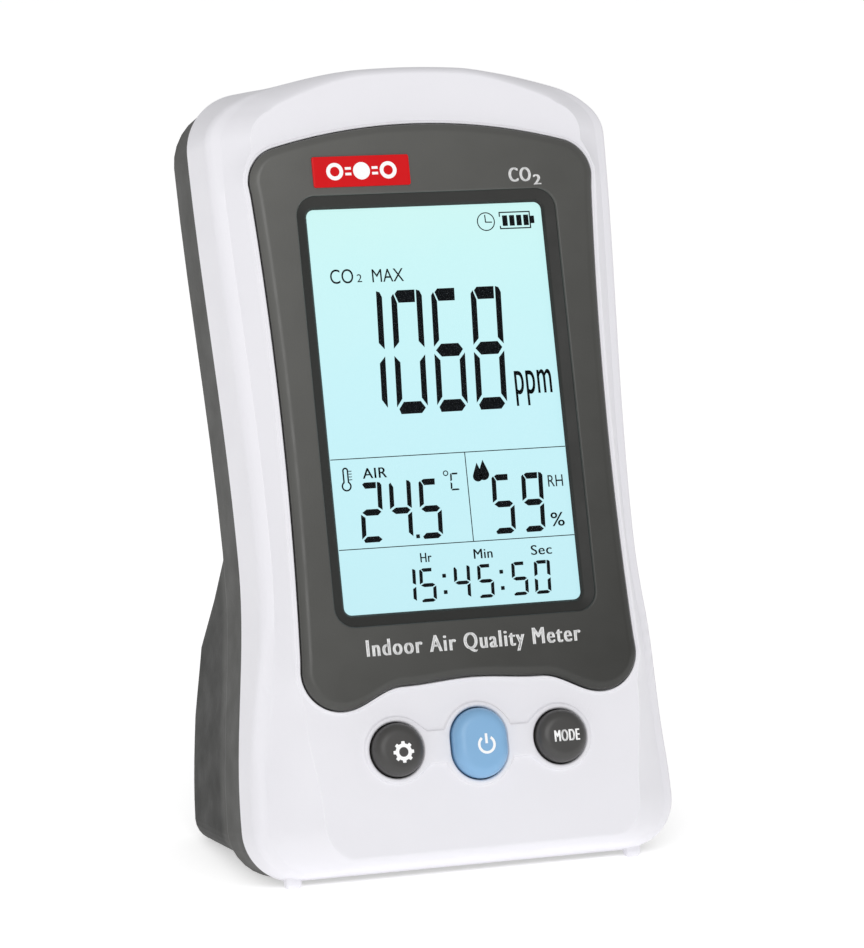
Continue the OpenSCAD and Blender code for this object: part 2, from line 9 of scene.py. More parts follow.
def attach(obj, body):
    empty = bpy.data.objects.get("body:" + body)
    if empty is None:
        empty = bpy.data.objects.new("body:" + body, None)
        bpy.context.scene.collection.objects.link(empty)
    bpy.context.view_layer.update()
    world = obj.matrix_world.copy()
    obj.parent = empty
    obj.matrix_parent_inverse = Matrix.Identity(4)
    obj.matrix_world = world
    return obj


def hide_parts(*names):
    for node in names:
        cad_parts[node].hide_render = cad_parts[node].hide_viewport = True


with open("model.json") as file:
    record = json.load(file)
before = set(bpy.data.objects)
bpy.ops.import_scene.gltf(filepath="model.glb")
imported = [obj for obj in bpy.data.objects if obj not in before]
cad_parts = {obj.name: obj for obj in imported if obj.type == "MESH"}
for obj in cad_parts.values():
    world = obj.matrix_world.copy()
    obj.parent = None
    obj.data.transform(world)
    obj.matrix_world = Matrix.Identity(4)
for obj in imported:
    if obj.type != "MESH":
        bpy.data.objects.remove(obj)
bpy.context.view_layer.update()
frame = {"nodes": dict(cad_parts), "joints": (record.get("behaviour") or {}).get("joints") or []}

MM = 0.001

# Thickness of a printed layer, and what each laid-over copy of a letter adds to it,
# in millimetres
LAYER = 0.03
COPY_STEP = 0.004

# The face frame: x to the right, y into the body, z up the face, in millimetres,
# with its zero at the display's centre.
KEY_DROP = 65.2
power_joint = next(j for j in frame["joints"] if j["name"] == "power_press")
INTO = Vector(power_joint["axis"]).normalized()
UP = Vector((0, -INTO.z, INTO.y))
FACE_ORIGIN = Vector(power_joint["pos_m"]) + UP * KEY_DROP * MM
FACE = Matrix((
    (MM, 0, 0, FACE_ORIGIN.x),
    (0, INTO.y * MM, UP.y * MM, FACE_ORIGIN.y),
    (0, INTO.z * MM, UP.z * MM, FACE_ORIGIN.z),
    (0, 0, 0, 1)))


# ---------------------------------------------------------------- camera, light and floor

def add_camera():
    turn = math.radians(19.2288)
    tilt = math.radians(10.097)
    distance = 730.6 * MM
    aside, below = 2.42 * MM, 13.22 * MM
    right = Vector((math.cos(turn), -math.sin(turn), 0))
    ahead = Vector((
        math.sin(turn) * math.cos(tilt), math.cos(turn) * math.cos(tilt), -math.sin(tilt)))
    above = right.cross(ahead)
    place = FACE_ORIGIN - right * aside - above * below - ahead * distance
    data = bpy.data.cameras.new("camera")
    data.lens = 144.3
    data.sensor_width = 36
    camera = bpy.data.objects.new("camera", data)
    bpy.context.scene.collection.objects.link(camera)
    camera.matrix_world = Matrix((
        (right.x, above.x, -ahead.x, place.x),
        (right.y, above.y, -ahead.y, place.y),
        (right.z, above.z, -ahead.z, place.z),
        (0, 0, 0, 1)))
    bpy.context.scene.camera = camera


def add_area_light(name, place, target, size, power):
    data = bpy.data.lights.new(name, "AREA")
    data.shape = "RECTANGLE"
    data.size, data.size_y = size
    data.energy = power
    light = bpy.data.objects.new(name, data)
    light.location = place
    aim = Vector(target) - Vector(place)
    light.rotation_euler = aim.to_track_quat("-Z", "Y").to_euler()
    bpy.context.scene.collection.objects.link(light)


def add_world():
    """Even white studio light, with a pure white backdrop behind the object."""
    world = bpy.data.worlds.new("studio")
    world.use_nodes = True
    tree = world.node_tree
    room = tree.nodes["Background"]
    room.inputs["Strength"].default_value = 0.56
    backdrop = tree.nodes.new("ShaderNodeBackground")
    backdrop.inputs["Strength"].default_value = 1.05
    for node in (room, backdrop):
        node.inputs["Color"].default_value = (1, 1, 1, 1)
    path = tree.nodes.new("ShaderNodeLightPath")
    mix = tree.nodes.new("ShaderNodeMixShader")
    tree.links.new(path.outputs["Is Camera Ray"], mix.inputs["Fac"])
    tree.links.new(room.outputs["Background"], mix.inputs[1])
    tree.links.new(backdrop.outputs["Background"], mix.inputs[2])
    tree.links.new(mix.outputs["Shader"], tree.nodes["World Output"].inputs["Surface"])
    bpy.context.scene.world = world


def add_floor():
    bm = bmesh.new()
    half = 4.0
    bm.faces.new([bm.verts.new((x, y, 0)) for x, y in (
        (-half, -half), (half, -half), (half, half), (-half, half))])
    mesh = bpy.data.meshes.new("floor")
    bm.to_mesh(mesh)
    bm.free()
    floor = bpy.data.objects.new("floor", mesh)
    bpy.context.scene.collection.objects.link(floor)
    material = bpy.data.materials.new("floor_paper")
    material.use_nodes = True
    shader = material.node_tree.nodes["Principled BSDF"]
    shader.inputs["Base Color"].default_value = (0.9, 0.9, 0.9, 1)
    shader.inputs["Roughness"].default_value = 0.9
    shader.inputs["Emission Color"].default_value = (1, 1, 1, 1)
    shader.inputs["Emission Strength"].default_value = 0.5
    mesh.materials.append(material)


bpy.context.scene.view_settings.view_transform = "Standard"
add_camera()
add_world()
add_floor()
add_area_light("front_softbox", (-0.35, -1.3, 0.85), (0, 0, 0.08), (1.1, 0.9), 8)
add_area_light("side_softbox", (-1.2, 0.1, 0.5), (0, 0, 0.08), (0.8, 0.8), 0.5)


# ---------------------------------------------------------------- materials

def srgb(r, g, b):
    """Linear colour of a screen colour given from 0 to 255."""
    def linear(c):
        c /= 255
        return c / 12.92 if c <= 0.04045 else ((c + 0.055) / 1.055) ** 2.4
    return (linear(r), linear(g), linear(b), 1)


def scaled(colour, k):
    return tuple(min(1, c * k) for c in colour[:3]) + (1,)


class Finish:
    """A procedural surface: colour that drifts, fine grain in the bump, and worn edges lightened
    also as a painted highlight.
    """

    def __init__(self, name, colour, rough, metallic=0.0, specular=0.5):
        self.material = bpy.data.materials.new(name)
        self.material.use_nodes = True
        self.tree = self.material.node_tree
        self.shader = self.tree.nodes["Principled BSDF"]
        self.shader.inputs["Metallic"].default_value = metallic
        self.shader.inputs["Specular IOR Level"].default_value = specular
        self.place = self.add("ShaderNodeTexCoord").outputs["Object"]
        self.colour = colour
        self.rough = rough
        self.normal = None

    def add(self, kind, **values):
        node = self.tree.nodes.new(kind)
        for key, value in values.items():
            setattr(node, key, value)
        return node

    def link(self, a, b):
        self.tree.links.new(a, b)

    def noise(self, size_mm, detail=2, stretch=None):
        """Noise whose features are about size_mm across."""
        place = self.place
        if stretch:
            mapping = self.add("ShaderNodeMapping")
            mapping.inputs["Scale"].default_value = stretch
            self.link(place, mapping.inputs["Vector"])
            place = mapping.outputs["Vector"]
        node = self.add("ShaderNodeTexNoise")
        node.inputs["Scale"].default_value = 1 / (size_mm * MM)
        node.inputs["Detail"].default_value = detail
        self.link(place, node.inputs["Vector"])
        return node.outputs["Fac"]

    def span(self, value, low, high, to_low, to_high):
        node = self.add("ShaderNodeMapRange")
        for key, number in zip(
                ("From Min", "From Max", "To Min", "To Max"), (low, high, to_low, to_high)):
            node.inputs[key].default_value = number
        self.link(value, node.inputs["Value"])
        return node.outputs["Result"]

    def mix(self, factor, a, b):
        """Mixes two colours; each is a tuple or an output socket."""
        node = self.add("ShaderNodeMix", data_type="RGBA")
        self.link(factor, node.inputs["Factor"])
        for value, socket in ((a, node.inputs["A"]), (b, node.inputs["B"])):
            if isinstance(value, tuple):
                socket.default_value = value
            else:
                self.link(value, socket)
        return node.outputs["Result"]

    def drift(self, size_mm, amount, stretch=None):
        """Slow change of the colour over the surface."""
        fade = self.span(self.noise(size_mm, 3, stretch), 0.3, 0.7, 0, 1)
        self.colour = self.mix(
            fade, scaled(self.colour, 1 - amount), scaled(self.colour, 1 + amount))
        return self

    def fade(self, colour, space, direction, low, high):
        """Paints shade: mixes into another colour between two places along a direction."""
        along = self.add("ShaderNodeVectorMath", operation="DOT_PRODUCT")
        self.link(self.add("ShaderNodeTexCoord").outputs[space], along.inputs[0])
        along.inputs[1].default_value = direction
        amount = self.span(along.outputs["Value"], low, high, 0, 1)
        self.colour = self.mix(amount, self.colour, colour)
        return self

    def speckle(self, size_mm, colour, low, high):
        fade = self.span(self.noise(size_mm, 1), low, high, 0, 1)
        self.colour = self.mix(fade, self.colour, colour)
        return self

    def grain(self, size_mm, depth_mm, strength=1.0, stretch=None, detail=2):
        bump = self.add("ShaderNodeBump")
        bump.inputs["Distance"].default_value = depth_mm * MM
        bump.inputs["Strength"].default_value = strength
        self.link(self.noise(size_mm, detail, stretch), bump.inputs["Height"])
        if self.normal:
            self.link(self.normal, bump.inputs["Normal"])
        self.normal = bump.outputs["Normal"]
        return self

    def worn_and_highlit_edges(self, colour, reach_mm, strength):
        """Lightens the edges, where a rounded normal leaves the true one: partly wear, partly a
        painted highlight.
        """
        bevel = self.add("ShaderNodeBevel", samples=4)
        bevel.inputs["Radius"].default_value = reach_mm * MM
        geometry = self.add("ShaderNodeNewGeometry")
        turn = self.add("ShaderNodeVectorMath", operation="DOT_PRODUCT")
        self.link(bevel.outputs["Normal"], turn.inputs[0])
        self.link(geometry.outputs["Normal"], turn.inputs[1])
        edge = self.span(turn.outputs["Value"], 0.99, 0.8, 0, 1)
        patch = self.span(self.noise(3, 3), 0.4, 0.6, 0.3, 1)
        both = self.add("ShaderNodeMath", operation="MULTIPLY")
        self.link(edge, both.inputs[0])
        self.link(patch, both.inputs[1])
        factor = self.span(both.outputs["Value"], 0, 1, 0, strength)
        self.colour = self.mix(factor, self.colour, colour)
        return self

    def done(self, rough_span=0.06, rough_size=6):
        if isinstance(self.colour, tuple):
            self.shader.inputs["Base Color"].default_value = self.colour
        else:
            self.link(self.colour, self.shader.inputs["Base Color"])
        rough = self.span(
            self.noise(rough_size, 4), 0.3, 0.7, self.rough - rough_span, self.rough + rough_span)
        self.link(rough, self.shader.inputs["Roughness"])
        if self.normal:
            self.link(self.normal, self.shader.inputs["Normal"])
        return self.material


def moulded(name, colour, rough, grain_mm=0.35, depth_mm=0.012, drift=0.03, edge_wear_and_highlight=0.25,
            specular=0.5, painted_shade=None):
    """Moulded plastic with a fine spark-eroded texture; it can take painted shade, a darker tone
    by place.
    """
    finish = Finish(name, colour, rough, specular=specular)
    finish.drift(14, drift)
    if painted_shade:
        finish.fade(*painted_shade)
    # Lighter edges: part wear, part painted highlight.
    finish.worn_and_highlit_edges(scaled(colour, 1.5), 0.5, edge_wear_and_highlight)
    finish.grain(18, 0.06, 0.4)
    finish.grain(grain_mm, depth_mm)
    return finish.done()


def metal(name, colour, rough, stretch=None, grain_mm=0.2, drift=0.08):
    finish = Finish(name, colour, rough, metallic=1.0)
    finish.drift(4, drift)
    finish.grain(grain_mm, 0.004, 1, stretch)
    return finish.done(0.08, 1.5)


WHITE = moulded("shell_plastic", srgb(229, 228, 233), 0.42, drift=0.008, edge_wear_and_highlight=0.35)
# The panel's colour carries painted shade, darker towards its lower right corner.
PANEL = moulded("panel_plastic", srgb(87, 87, 84), 0.36, grain_mm=0.3, drift=0.05,
                painted_shade=(srgb(44, 44, 41), "Generated", (0.45, 0, -0.55), -0.55, 0.4))
RECESS = moulded("recess_plastic", srgb(38, 38, 36), 0.5, drift=0.05, edge_wear_and_highlight=0.1, specular=0.35)

# The rear case carries painted shade: it darkens just behind its rim.
RIM_END = FACE_ORIGIN.dot(INTO) + 30.5 * MM
REAR = moulded("rear_plastic", srgb(72, 72, 70), 0.55, grain_mm=0.5, depth_mm=0.03, drift=0.05,
               specular=0.2,
               painted_shade=(srgb(40, 40, 38), "Object", tuple(INTO), RIM_END, RIM_END + 3 * MM))
DOOR = moulded("door_plastic", srgb(40, 40, 38), 0.55, grain_mm=0.5, depth_mm=0.03, drift=0.05,
               specular=0.2)
DARK_KEY = moulded("dark_key_plastic", srgb(61, 60, 59), 0.38, grain_mm=0.25, drift=0.04)
BLUE_KEY = moulded("blue_key_plastic", srgb(129, 174, 213), 0.35, grain_mm=0.25, drift=0.03)
BADGE_RED = moulded("badge_enamel", srgb(205, 2, 12), 0.35, grain_mm=0.4, drift=0.04, edge_wear_and_highlight=0.1,
                    specular=0.2)
INK_WHITE = moulded("white_ink", srgb(246, 246, 246), 0.5, drift=0.01, edge_wear_and_highlight=0)


# ---------------------------------------------------------------- outlines, in the face frame

WAIST_Z, FLARE_UP, FLARE_DOWN, TOP_FLARE = -26, 88, 52, 2.7
WAIST_W, BODY_W = 78.4, 87
FACE_TOP, FACE_BOTTOM = 68.4, 87.8
TOP_R, SHOULDER_Z, SHOULDER_R, HEEL_R = 190, 53, 12, 10
SHELL_DEPTH, WALL = 17, 2.2
CREASE_X, CREASE_DIP, CREASE_FROM, CREASE_SPAN = 33.7, 1.9, 57.5, 20
FACET_D, FOOT_DIP, FOOT_FROM, FOOT_SPAN = 4.2, 5, 40, 28
EDGE_W, EDGE_D = 2.3, 2.6
DRAFT, TOP_DRAFT, TOP_EDGE_D, SHOULDER_DROP = 0.6, 0.9, 5.5, 3.2
BOARD_Y = 15.9
LCD_W, LCD_H = 48, 78.2
PANEL_TOP, PANEL_TOP_R, PANEL_SHOULDER_Z, PANEL_SHOULDER_R = 55.1, 112, 46, 7
PANEL_W, PANEL_WAIST_Z, PANEL_SIDE_R = 65.4, -12, 770
LOBE_R, LOBE_X, LOBE_Z = 7.5, 26.2, -49.5
ARCH_X, ARCH_Z, ARCH_RISE = 14, -53.1, 0.8
PANEL_PROUD, PANEL_BACK, PANEL_GAP = 1.6, 1.2, 0.25
KEY_D, KEY_PITCH, KEY_PROUD, KEY_Z = 10.2, 16.5, 3, -KEY_DROP
POWER_W, POWER_STRAIGHT = 10.9, 2.5


def ease(t):
    """Smooth step from 0 to 1 with level ends."""
    return (1 - math.cos(math.pi * max(0, min(1, t)))) / 2


def mirrored(half):
    """Closed outline from its right-hand half, listed from the top down."""
    return half + [(-x, z) for x, z in reversed(half)]


def arc(x, z, r, start, end, steps):
    """Points on a circle round (x, z), from one angle to another in degrees."""
    points = []
    for i in range(steps + 1):
        a = math.radians(start + (end - start) * i / steps)
        points.append((x + r * math.cos(a), z + r * math.sin(a)))
    return points


def circle(x, z, r, steps=64):
    return arc(x, z, r, 0, -360 * (steps - 1) / steps, steps - 1)


def side_x(z):
    """Half-width of the body at height z."""
    if z > WAIST_Z:
        return WAIST_W / 2 + TOP_FLARE * ease((z - WAIST_Z) / FLARE_UP)
    return WAIST_W / 2 + (BODY_W - WAIST_W) / 2 * ease((WAIST_Z - z) / FLARE_DOWN)


def domed_top(top_z, top_r, corner_x, corner_r, inset):
    """A shallow domed top that runs into a round shoulder, from the middle outwards."""
    arc_z = top_z - top_r
    corner_z = arc_z + math.sqrt((top_r - corner_r) ** 2 - corner_x ** 2)
    a = math.degrees(math.atan2(corner_z - arc_z, corner_x))
    points = arc(0, arc_z, top_r - inset, 90 - (90 - a) / 60, a + (90 - a) / 30, 24)
    points += arc(corner_x, corner_z, corner_r - inset, a, 0, 18)
    return points, corner_z


def body_outline(inset, lift=0.0):
    """Body outline, moved in by inset, with its lower edge raised by lift."""
    half, corner_z = domed_top(
        FACE_TOP, TOP_R, side_x(SHOULDER_Z) - SHOULDER_R, SHOULDER_R, inset)
    heel_z = HEEL_R - FACE_BOTTOM
    steps = 48
    for i in range(1, steps):
        z = corner_z + (heel_z - corner_z) * i / steps
        half.append((side_x(z) - inset, z))
    half += arc(BODY_W / 2 - HEEL_R, heel_z + lift, HEEL_R - inset, 0, -90, 20)
    return mirrored(half)


def panel_x(z):
    """Half-width of the dark panel at height z."""
    return PANEL_W / 2 + (z - PANEL_WAIST_Z) ** 2 / (2 * PANEL_SIDE_R)


PANEL_CORNER_X = panel_x(PANEL_SHOULDER_Z) - PANEL_SHOULDER_R


def panel_outline(inset):
    """Dark panel: domed top, waisted sides and a wavy lower edge."""
    half, corner_z = domed_top(
        PANEL_TOP, PANEL_TOP_R, PANEL_CORNER_X, PANEL_SHOULDER_R, inset)
    steps = 36
    for i in range(1, steps):
        z = corner_z + (LOBE_Z - corner_z) * i / steps
        half.append((panel_x(z) - inset, z))
    half += arc(LOBE_X, LOBE_Z, LOBE_R - inset, 0, -90, 20)
    low = LOBE_Z - LOBE_R
    for i in range(1, 19):
        t = i / 18
        half.append((LOBE_X + (ARCH_X - LOBE_X) * t, low + inset + (ARCH_Z - low) * ease(t)))
    for i in range(1, 14):
        t = (i - 0.2) / 13
        half.append((ARCH_X * (1 - t), ARCH_Z + inset + ARCH_RISE * ease(t)))
    return mirrored(half)


PANEL_CORNER_Z = domed_top(PANEL_TOP, PANEL_TOP_R, PANEL_CORNER_X, PANEL_SHOULDER_R, 0)[1]


def crease_x(z):
    """Half-width of the face's level middle, which holds the panel and its lip."""
    margin = 1.3
    if z > PANEL_CORNER_Z:
        x, reach, rise = PANEL_CORNER_X, PANEL_SHOULDER_R + margin, z - PANEL_CORNER_Z
    elif z < LOBE_Z:
        x, reach, rise = LOBE_X, LOBE_R + margin, LOBE_Z - z
    else:
        return panel_x(z) + margin
    plain_x = CREASE_X - CREASE_DIP * ease((-CREASE_FROM - z) / CREASE_SPAN)
    return max(plain_x, x + math.sqrt(max(0, reach ** 2 - rise ** 2)))


def round_edge(w, t):
    """How far an edge w wide stands in at the part t of its depth."""
    return w * (1 - math.sqrt(max(0, 1 - (1 - t) ** 2)))


def shell_side(y, z):
    """Half-width of the front shell: a facet, a rounded edge and a side wall."""
    facet = FACET_D + FOOT_DIP * ease((-FOOT_FROM - z) / FOOT_SPAN)
    edge = facet + EDGE_D
    w = side_x(z) - DRAFT
    if y < facet:
        return crease_x(z) + (w - EDGE_W - crease_x(z)) * y / facet
    if y < edge:
        return w - round_edge(EDGE_W, (y - facet) / EDGE_D)
    return w + DRAFT * (y - edge) / (SHELL_DEPTH - edge)


def shoulder_fall(x, y, z):
    """How far the shell's shoulders have fallen away at depth y, above the point (x, z)."""
    out = max(0, min(1, (abs(x) - 12) / 22)) ** 1.5
    up = max(0, min(1, (z - 52) / 10))
    return SHOULDER_DROP * (1 - y / SHELL_DEPTH) * out * up


def shell_outline(y, t=0.0):
    """Outline of the front shell at depth y, moved in by t."""
    inset = TOP_DRAFT * (SHELL_DEPTH - y) / (SHELL_DEPTH - TOP_EDGE_D)
    if y < TOP_EDGE_D:
        inset = TOP_DRAFT + round_edge(EDGE_W, y / TOP_EDGE_D)
    inset += t
    return [(x * (shell_side(y, z) - t) / (side_x(z) - inset), z - shoulder_fall(x, y, z))
            for x, z in body_outline(inset)]


def round_rect(x, z, w, h, r, steps=8):
    """Rounded rectangle round the point (x, z)."""
    right, top, low = w / 2 - r, h / 2 - r, r - h / 2
    half = arc(right, top, r, 90, 0, steps) + arc(right, low, r, 0, -90, steps)
    return [(x + px, z + pz) for px, pz in mirrored(half)]


def oval(w, straight, steps=24):
    """Upright oval round the power key's centre."""
    half = arc(0, KEY_Z + straight / 2, w / 2, 88, 0, steps)
    half += arc(0, KEY_Z - straight / 2, w / 2, 0, -88, steps)
    return mirrored(half)


def lobe(x, r, straight):
    """Height of a round end's edge at x, above a straight side's end."""
    return straight + math.sqrt(r * r - x * x) if abs(x) < r else 0


def island_outline():
    """Raised island: a lobe round each key, joined by soft necks."""
    margin, neck, softness = 1.25, 3, 0.9
    r = KEY_D / 2 + margin
    end = KEY_PITCH + r

    def height(x):
        key = lobe(abs(x) - KEY_PITCH, r, 0)
        if abs(x) > KEY_PITCH:
            return key
        power = lobe(x, POWER_W / 2 + margin, POWER_STRAIGHT / 2)
        return math.log(sum(math.exp(softness * h) for h in (power, key, neck))) / softness

    steps = 220
    xs = [-end * math.cos(math.pi * i / steps) for i in range(1, steps)]
    upper = [(-end, KEY_Z)] + [(x, KEY_Z + height(x)) for x in xs]
    lower = [(end, KEY_Z)] + [(x, KEY_Z - height(x)) for x in reversed(xs)]
    return upper + lower


def grown(outline, by):
    """The outline moved outwards along its own normals; it runs clockwise."""
    count = len(outline)
    points = []
    for i, (x, z) in enumerate(outline):
        ax, az = outline[i - 1]
        bx, bz = outline[(i + 1) % count]
        dx, dz = bx - ax, bz - az
        size = math.hypot(dx, dz) or 1
        points.append((x - dz / size * by, z + dx / size * by))
    return points


# ---------------------------------------------------------------- mesh building

class Shape:
    """A mesh under construction in the face frame, in millimetres."""

    def __init__(self):
        self.bm = bmesh.new()
        self.slot = 0

    def ring(self, outline, y):
        return [self.bm.verts.new((x, y(x, z) if callable(y) else y, z)) for x, z in outline]

    def face(self, verts):
        face = self.bm.faces.new(verts)
        face.material_index = self.slot
        return face

    def band(self, a, b):
        count = len(a)
        for i in range(count):
            j = (i + 1) % count
            self.face((a[i], a[j], b[j], b[i]))

    def bands(self, rings):
        """Rings of equal length, joined in order; returns the first and the last."""
        made = [ring if isinstance(ring, list) else self.ring(*ring) for ring in rings]
        for a, b in zip(made, made[1:]):
            self.band(a, b)
        return made[0], made[-1]

    def fill(self, *rings):
        """Flat face bounded by the first ring, with the others as holes."""
        edges = []
        for ring in rings:
            for i, vert in enumerate(ring):
                pair = (vert, ring[(i + 1) % len(ring)])
                edges.append(self.bm.edges.get(pair) or self.bm.edges.new(pair))
        made = bmesh.ops.triangle_fill(self.bm, use_beauty=True, edges=edges)
        for item in made["geom"]:
            if isinstance(item, bmesh.types.BMFace):
                item.material_index = self.slot

    def solid(self, outline, y0, y1):
        """Straight prism between two depths."""
        front, back = self.bands([(outline, y0), (outline, y1)])
        self.fill(front)
        self.fill(back)

    def washer(self, outer, inner, y0, y1):
        """Prism between two outlines of equal length."""
        first, last = self.bands([(outer, y0), (outer, y1), (inner, y1), (inner, y0)])
        self.band(last, first)

    def stroke(self, points, width, y0, y1, closed=False):
        """Line of even width along the points."""
        count = len(points)
        left, right = [], []
        for i, (x, z) in enumerate(points):
            if closed:
                a, b = points[i - 1], points[(i + 1) % count]
            else:
                a, b = points[max(i - 1, 0)], points[min(i + 1, count - 1)]
            into = Vector((x - a[0], z - a[1]))
            out = Vector((b[0] - x, b[1] - z))
            into = into.normalized() if into.length else out.normalized()
            out = out.normalized() if out.length else into
            along = (into + out).normalized()
            reach = width / 2 / max(0.4, along.dot(into))
            left.append((x - along.y * reach, z + along.x * reach))
            right.append((x + along.y * reach, z - along.x * reach))
        if closed:
            self.washer(left, right, y0, y1)
        else:
            self.solid(left + right[::-1], y0, y1)

    def tube(self, x, z, outer_d, inner_d, y0, y1, y_hole):
        """Round post with a blind hole in its far end."""
        outer, inner = circle(x, z, outer_d / 2, 32), circle(x, z, inner_d / 2, 32)
        first, last = self.bands(
            [(outer, y0), (outer, y1 - 0.2), (circle(x, z, outer_d / 2 - 0.2, 32), y1),
             (inner, y1), (inner, y_hole)])
        self.fill(first)
        self.fill(last)

    def absorb(self, mesh):
        self.bm.from_mesh(mesh)

    def build(self, name, body, materials, replaces=(), sharp=32):
        bm = self.bm
        bmesh.ops.remove_doubles(bm, verts=bm.verts, dist=1e-5)
        bmesh.ops.recalc_face_normals(bm, faces=bm.faces)
        limit = math.radians(sharp)
        for edge in bm.edges:
            edge.smooth = len(edge.link_faces) == 2 and edge.calc_face_angle(math.pi) < limit
        for face in bm.faces:
            face.smooth = True
        bmesh.ops.transform(bm, matrix=FACE, verts=bm.verts)
        mesh = bpy.data.meshes.new(name)
        bm.to_mesh(mesh)
        bm.free()
        for material in materials:
            mesh.materials.append(material)
        piece = bpy.data.objects.new(name, mesh)
        bpy.context.scene.collection.objects.link(piece)
        weighted = piece.modifiers.new("even_normals", "WEIGHTED_NORMAL")
        weighted.keep_sharp = True
        weighted.weight = 100
        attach(piece, body)
        if replaces:
            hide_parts(*replaces)
        return piece


def text_mesh(text, box, y, depth, spacing):
    """Letters from the built-in font, stretched to fill box (x0, x1, z0, z1)."""
    curve = bpy.data.curves.new("letters", "FONT")
    curve.body = text
    curve.space_character = spacing
    curve.resolution_u = 6
    holder = bpy.data.objects.new("letters", curve)
    bpy.context.scene.collection.objects.link(holder)
    bpy.context.view_layer.update()
    mesh = bpy.data.meshes.new_from_object(
        holder.evaluated_get(bpy.context.evaluated_depsgraph_get()))
    bpy.data.objects.remove(holder)
    bpy.data.curves.remove(curve)
    bm = bmesh.new()
    bm.from_mesh(mesh)
    xs = [v.co.x for v in bm.verts]
    zs = [v.co.y for v in bm.verts]
    x0, x1, z0, z1 = box
    wide = (x1 - x0) / (max(xs) - min(xs))
    high = (z1 - z0) / (max(zs) - min(zs))
    low_x, low_z = min(xs), min(zs)
    for v in bm.verts:
        v.co = (x0 + (v.co.x - low_x) * wide, 0, z0 + (v.co.y - low_z) * high)
    made = bmesh.ops.extrude_face_region(bm, geom=list(bm.faces))
    for item in made["geom"]:
        if isinstance(item, bmesh.types.BMVert):
            item.co.y += depth
    for v in bm.verts:
        v.co.y += y(v.co.x, v.co.z) if callable(y) else y
    bm.to_mesh(mesh)
    bm.free()
    return mesh


def add_text(shape, text, box, y, depth, bold):
    """Letters; heavier ones are laid over each other, bold millimetres apart in all."""
    x0, x1, z0, z1 = box
    copies = 3 if bold else 1
    for i in range(copies):
        shift = bold * i / 2
        moved = (x0 + shift, x1 - bold + shift, z0, z1)
        mesh = text_mesh(text, moved, y, depth + COPY_STEP * i, 1 + 0.8 * bold)
        shape.absorb(mesh)
        bpy.data.meshes.remove(mesh)


# ---------------------------------------------------------------- front shell

CASE_SCREWS = [(s * 33.2, z) for s in (-1, 1) for z in (49, -45)]
BOARD_POSTS = [(s * 24.5, z) for s in (-1, 1) for z in (48, -72.5)]


def key_outlines(extra):
    """Outlines round the three keys, this much larger than the keys."""
    return [
        circle(-KEY_PITCH, KEY_Z, KEY_D / 2 + extra),
        oval(POWER_W + 2 * extra, POWER_STRAIGHT),
        circle(KEY_PITCH, KEY_Z, KEY_D / 2 + extra)]


def floor_line(y):
    """Height, in the face frame, of the surface that the monitor stands on."""
    return -(FACE_ORIGIN.z / MM + y * INTO.z) / UP.z


def add_fin(shape, side):
    """Small moulded foot under the shell, with rounded edges."""
    x0, x1 = 33.3, 36.3
    top = 2 - FACE_BOTTOM
    profile = [
        (13.2, top), (13.7, floor_line(13.7) + 1.1), (14.8, floor_line(14.8)),
        (16, floor_line(16)), (16.9, floor_line(16.9) + 0.9), (16.9, top)]
    bm = bmesh.new()
    near = [bm.verts.new((side * x0, y, z)) for y, z in profile]
    far = [bm.verts.new((side * x1, y, z)) for y, z in profile]
    bm.faces.new(near)
    bm.faces.new(far)
    for i in range(len(profile)):
        j = (i + 1) % len(profile)
        bm.faces.new((near[i], near[j], far[j], far[i]))
    bmesh.ops.recalc_face_normals(bm, faces=bm.faces)
    low = [e for e in bm.edges if min(v.co.z for v in e.verts) < top - 0.5]
    bmesh.ops.bevel(bm, geom=low, offset=0.65, segments=5, profile=0.5, affect="EDGES")
    mesh = bpy.data.meshes.new("fin")
    bm.to_mesh(mesh)
    bm.free()
    shape.absorb(mesh)
    bpy.data.meshes.remove(mesh)


def add_shell_outside(shape):
    """Side wall, rounded edge and facets; returns the rings at the seam and on the face."""
    outside = [(shell_outline(SHELL_DEPTH, 0.4), SHELL_DEPTH),
               (shell_outline(SHELL_DEPTH, 0.13), SHELL_DEPTH - 0.08),
               (shell_outline(SHELL_DEPTH, 0.02), SHELL_DEPTH - 0.35)]
    deepest = FACET_D + FOOT_DIP + EDGE_D
    depths = [SHELL_DEPTH - 2, deepest + 2.5]
    depths += [TOP_EDGE_D + (deepest - TOP_EDGE_D) * i / 20 for i in range(20, 0, -1)]
    depths += [TOP_EDGE_D * (1 - math.sin(math.radians(5 * i))) for i in range(19)]
    outside += [(shell_outline(y), y) for y in depths]
    return shape.bands(outside)


def add_island(shape):
    """Raised island with a bore for each key; returns its foot and the bores' far ends."""
    slope = [(0.28, 0), (0.16, -0.04), (0.06, -0.16), (-0.06, -0.44), (-0.16, -0.56), (-0.3, -0.6)]
    island = island_outline()
    foot, top = shape.bands([(grown(island, out), y) for out, y in slope])
    bore = [(0.62, -0.6), (0.52, -0.57), (0.44, -0.5), (0.3, -0.3), (0.24, -0.1), (0.2, 2)]
    near, far = [], []
    for key in range(3):
        first, last = shape.bands([(key_outlines(out)[key], y) for out, y in bore])
        near.append(first)
        far.append(last)
    shape.fill(top, *near)
    return foot, far


